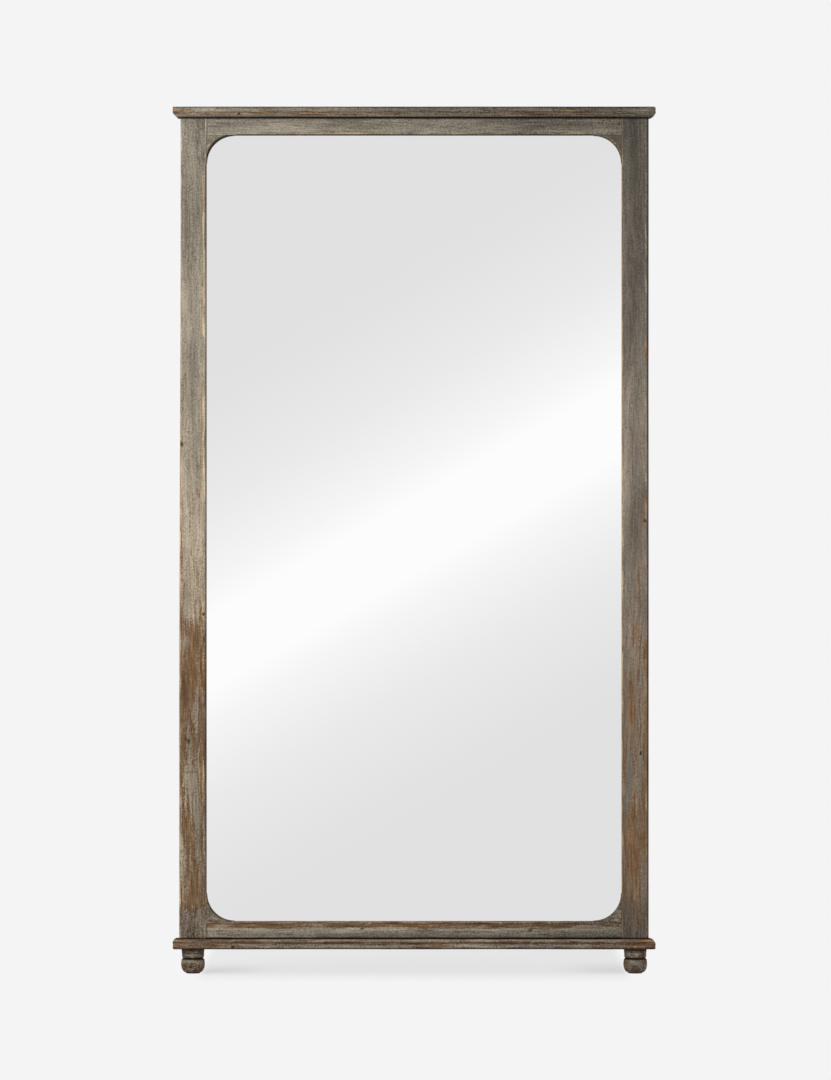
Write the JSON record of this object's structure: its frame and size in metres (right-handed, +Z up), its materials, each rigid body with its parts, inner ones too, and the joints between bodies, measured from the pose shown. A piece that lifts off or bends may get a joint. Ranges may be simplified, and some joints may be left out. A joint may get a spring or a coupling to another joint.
{
  "type": "leaning floor mirror",
  "caption": "Tall rectangular floor mirror in a reclaimed wood frame with rounded inner corners, a moulded cornice and base, turned bun feet and ring hangers on the back.",
  "frame": {"origin": "on the floor, under the centre of the whole mirror", "axes": "+Z up, the glass faces -Y, +X to the right of a viewer in front"},
  "size_m": [1.115, 0.073, 2],
  "materials": {
    "pale_wood": "worn grey-beige wash over old timber, matt",
    "brown_wood": "old brown timber with worn grey paint, matt",
    "dark_wood": "old timber with a darker grey-brown wash, matt",
    "new_pine": "planed pine, unfinished",
    "panel_board": "thin hardboard back, smooth and matt",
    "silvered_glass": "clear silvered plate glass",
    "zinc_steel": "zinc-plated steel",
    "black_rubber": "black rubber",
    "felt": "dark brown pressed felt"
  },
  "bodies": {
    "frame": {"stile_left": "pale_wood", "top_rail": "pale_wood", "corner_block_top_left": "pale_wood", "corner_block_bottom_left": "pale_wood", "cornice": "brown_wood", "base_plank": "brown_wood", "bottom_rail": "brown_wood", "foot_left": "brown_wood", "foot_right": "brown_wood", "corner_block_bottom_right": "brown_wood", "stile_right": "dark_wood", "corner_block_top_right": "dark_wood", "glass_fillet_left": "new_pine", "glass_fillet_right": "new_pine", "glass_fillet_top": "new_pine", "glass_fillet_bottom": "new_pine", "cornice_dowels": "new_pine", "back_panel": "panel_board", "mirror_glass": "silvered_glass", "hanger_strap_left": "zinc_steel", "hanger_strap_right": "zinc_steel", "hanger_screws": "zinc_steel", "back_screws": "zinc_steel", "base_screws": "zinc_steel", "foot_bolts": "zinc_steel", "fillet_pins": "zinc_steel", "wall_bumper_left": "black_rubber", "wall_bumper_right": "black_rubber", "setting_blocks": "black_rubber", "foot_pad_left": "felt", "foot_pad_right": "felt"},
    "ring_left": {"hanger_ring_left": "zinc_steel"},
    "ring_right": {"hanger_ring_right": "zinc_steel"}
  },
  "joints": [
    {"name": "ring_left_swing", "type": "hinge", "parent": "frame", "child": "ring_left", "pos_m": [-0.52075, 0.0306, 1.645], "axis": [1, 0, 0], "range_deg": [0, 180]},
    {"name": "ring_right_swing", "type": "hinge", "parent": "frame", "child": "ring_right", "pos_m": [0.52075, 0.0306, 1.645], "axis": [1, 0, 0], "range_deg": [0, 180]}
  ]
}
